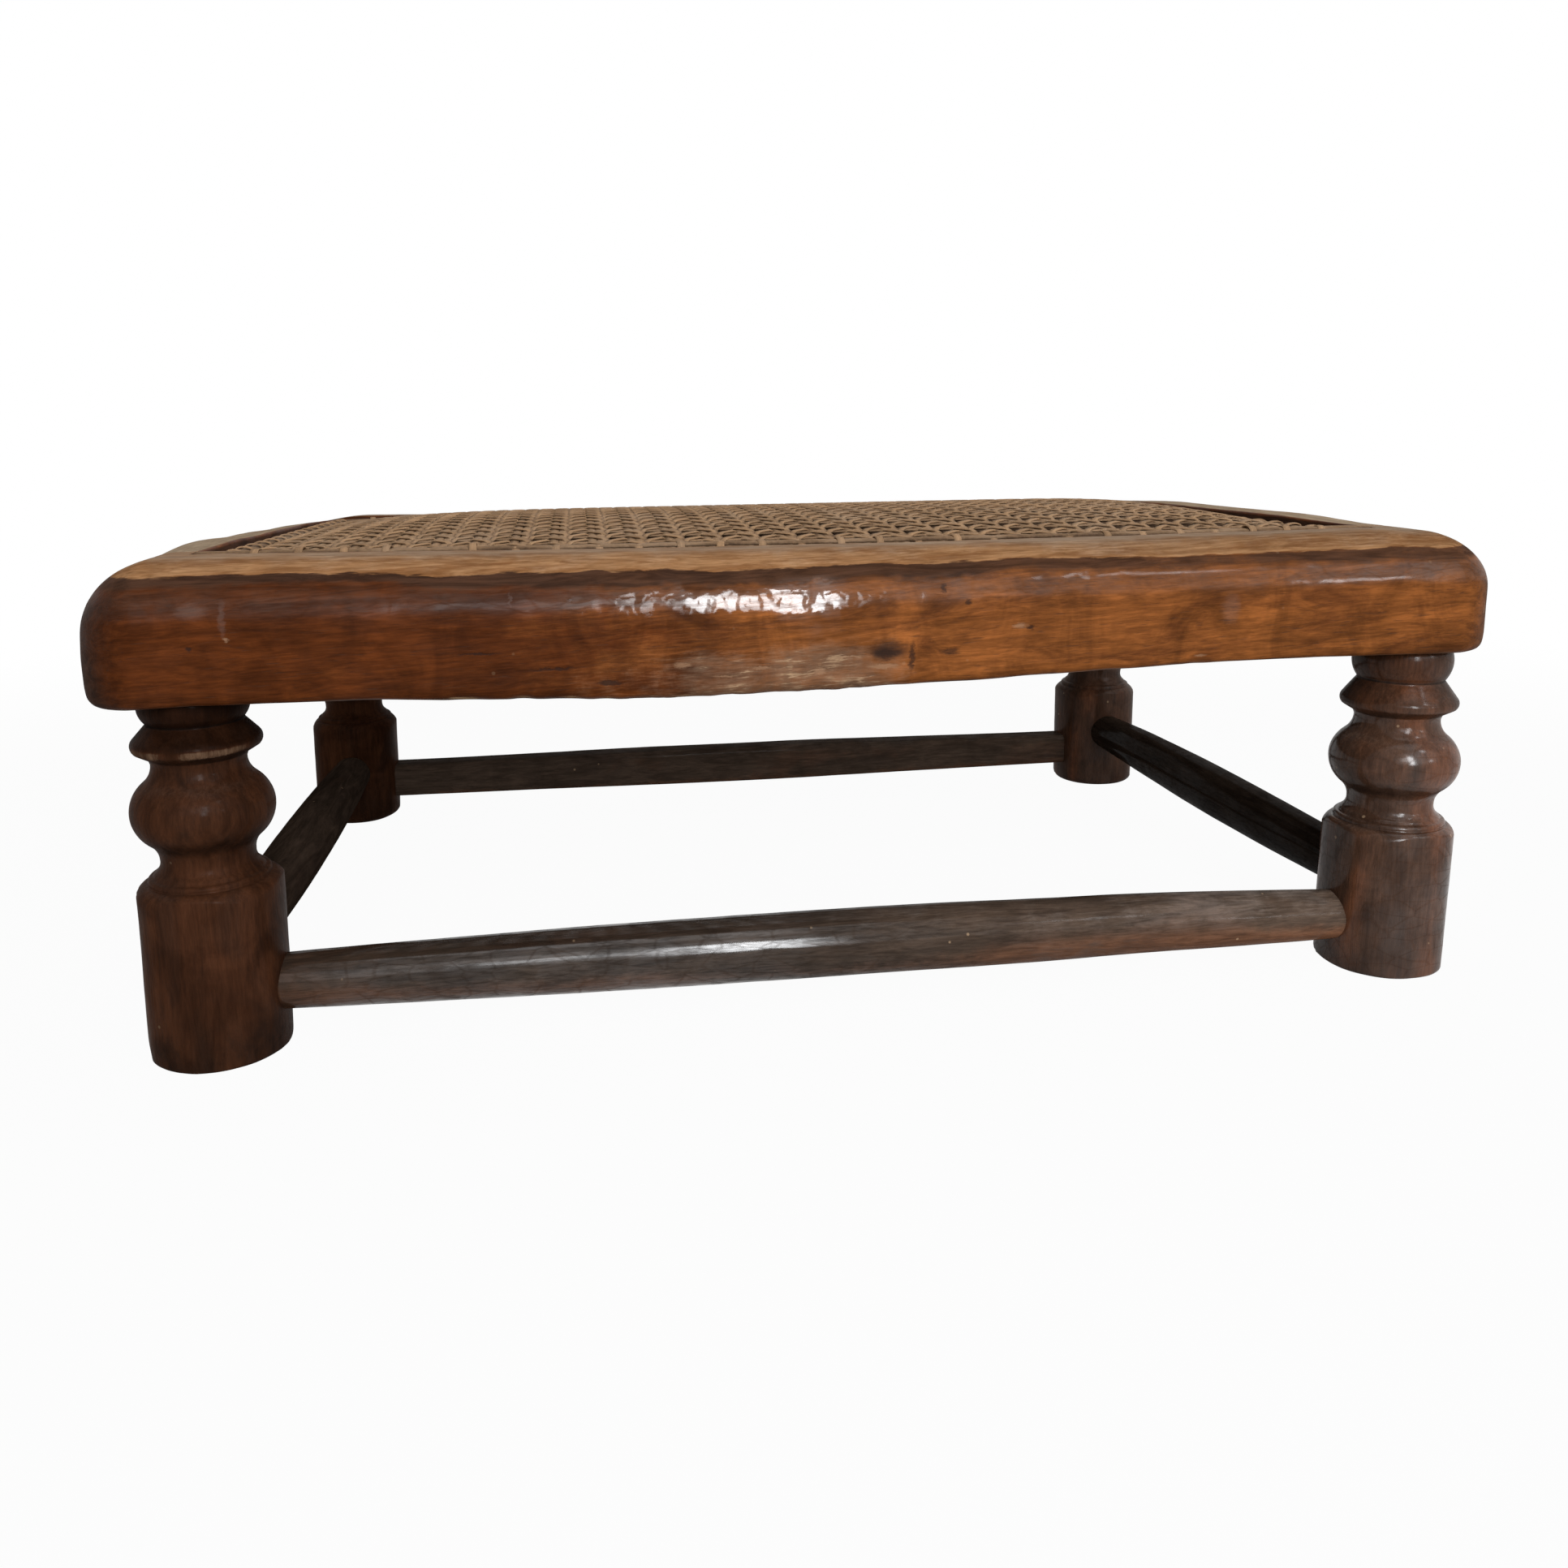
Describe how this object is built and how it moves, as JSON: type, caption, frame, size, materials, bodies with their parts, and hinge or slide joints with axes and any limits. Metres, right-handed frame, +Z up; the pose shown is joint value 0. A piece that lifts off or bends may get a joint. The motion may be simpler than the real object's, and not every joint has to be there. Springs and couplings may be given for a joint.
{
  "type": "caned footstool",
  "caption": "Low oblong footstool: a hand-caned seat let into a round-edged wooden frame, on ball-turned legs that box stretchers join near the floor.",
  "frame": {"origin": "on the floor under the middle of the seat frame", "axes": "+X along the long side to the sitter's right, +Y to the back, +Z up"},
  "size_m": [0.404, 0.268, 0.14],
  "materials": {
    "rail_wood": "worn polished walnut",
    "leg_wood": "dark waxed, worn on the edges",
    "stretcher_wood": "very dark, grimy, rubbed",
    "cane": "aged split rattan, dusty satin"
  },
  "bodies": {
    "root": {"front_seat_rail": "rail_wood", "back_seat_rail": "rail_wood", "left_seat_rail": "rail_wood", "right_seat_rail": "rail_wood", "front_left_leg": "leg_wood", "front_right_leg": "leg_wood", "back_left_leg": "leg_wood", "back_right_leg": "leg_wood", "front_stretcher": "stretcher_wood", "back_stretcher": "stretcher_wood", "left_stretcher": "stretcher_wood", "right_stretcher": "stretcher_wood", "cane_panel": "cane", "front_cane_binder": "cane", "back_cane_binder": "cane", "left_cane_binder": "cane", "right_cane_binder": "cane", "front_cane_ties": "cane", "back_cane_ties": "cane", "left_cane_ties": "cane", "right_cane_ties": "cane"}
  },
  "joints": []
}
